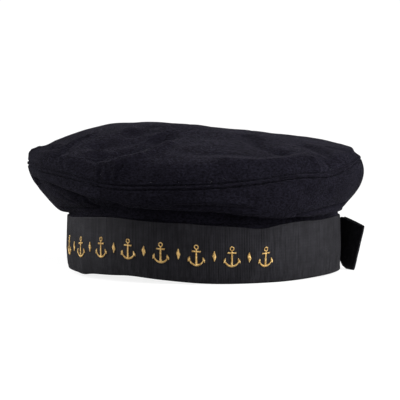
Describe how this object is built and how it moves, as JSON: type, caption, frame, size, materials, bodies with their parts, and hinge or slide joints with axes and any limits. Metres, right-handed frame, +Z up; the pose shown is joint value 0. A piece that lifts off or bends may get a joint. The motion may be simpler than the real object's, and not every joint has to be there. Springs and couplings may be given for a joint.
{
  "type": "sailor cap",
  "caption": "Soft round sailor's cap: a wide slouching cloth top gathered over a low band, with a woven ribbon round the band and a flat bow at the rear left.",
  "frame": {"origin": "on the ground under the middle of the cap's box, as it rests on its headband", "axes": "+Z up through the top, the wearer faces -Y, +X is the wearer's left"},
  "size_m": [0.2285, 0.229, 0.1018],
  "materials": {
    "wool": "napped navy wool melton",
    "ribbon": "black ribbed grosgrain, slight sheen",
    "gold_thread": "gold embroidery thread, satin stitched"
  },
  "bodies": {
    "root": {"headband": "wool", "crown_side": "wool", "crown_top": "wool", "ribbon": "ribbon", "bow_loops": "ribbon", "bow_knot": "ribbon"}
  },
  "joints": []
}
